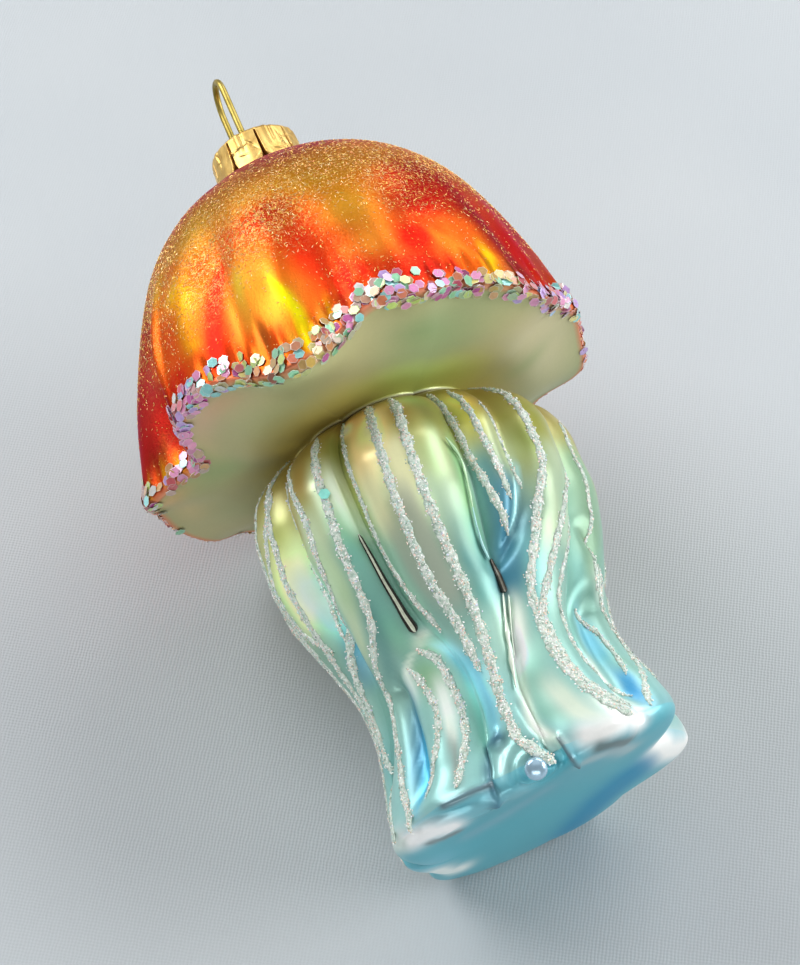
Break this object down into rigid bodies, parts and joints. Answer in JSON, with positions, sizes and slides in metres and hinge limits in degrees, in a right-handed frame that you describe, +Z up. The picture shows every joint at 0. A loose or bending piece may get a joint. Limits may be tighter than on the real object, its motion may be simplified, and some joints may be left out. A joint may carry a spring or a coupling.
{
  "type": "blown glass jellyfish christmas ornament",
  "caption": "Blown glass jellyfish hanging ornament lying on its side: scalloped bell, fused bundle of arms, blue foot, crinkled metal crown cap and spring wire loop.",
  "frame": {"origin": "on the floor, under the middle of the ornament's bounding box, as it lies on its side", "axes": "+Z up, +Y along the ornament towards the crown cap and loop, +X to the right when looking from the arm end towards the cap"},
  "size_m": [0.0684, 0.1252, 0.0654],
  "materials": {
    "bell_glass": "silvered inside, satin gold and orange lacquer outside, glitter band on the rim",
    "arm_glass": "silvered inside, satin pearl green and aqua lacquer outside, glitter lines",
    "foot_glass": "silvered inside, satin pale blue lacquer outside",
    "cap_metal": "thin stamped sheet, bright gold, crinkled",
    "wire_metal": "dull gold spring wire"
  },
  "bodies": {
    "root": {"bell": "bell_glass", "tentacle_1_upper": "arm_glass", "tentacle_1_lower": "arm_glass", "tentacle_2_upper": "arm_glass", "tentacle_2_lower": "arm_glass", "tentacle_3_upper": "arm_glass", "tentacle_3_lower": "arm_glass", "tentacle_4_upper": "arm_glass", "tentacle_4_lower": "arm_glass", "tentacle_5_upper": "arm_glass", "tentacle_5_lower": "arm_glass", "tentacle_6_upper": "arm_glass", "tentacle_6_lower": "arm_glass", "tentacle_7_upper": "arm_glass", "tentacle_7_lower": "arm_glass", "tentacle_8_upper": "arm_glass", "tentacle_8_lower": "arm_glass", "tentacle_9_upper": "arm_glass", "tentacle_9_lower": "arm_glass", "foot": "foot_glass", "crown_cap": "cap_metal", "wire_loop": "wire_metal"}
  },
  "joints": []
}
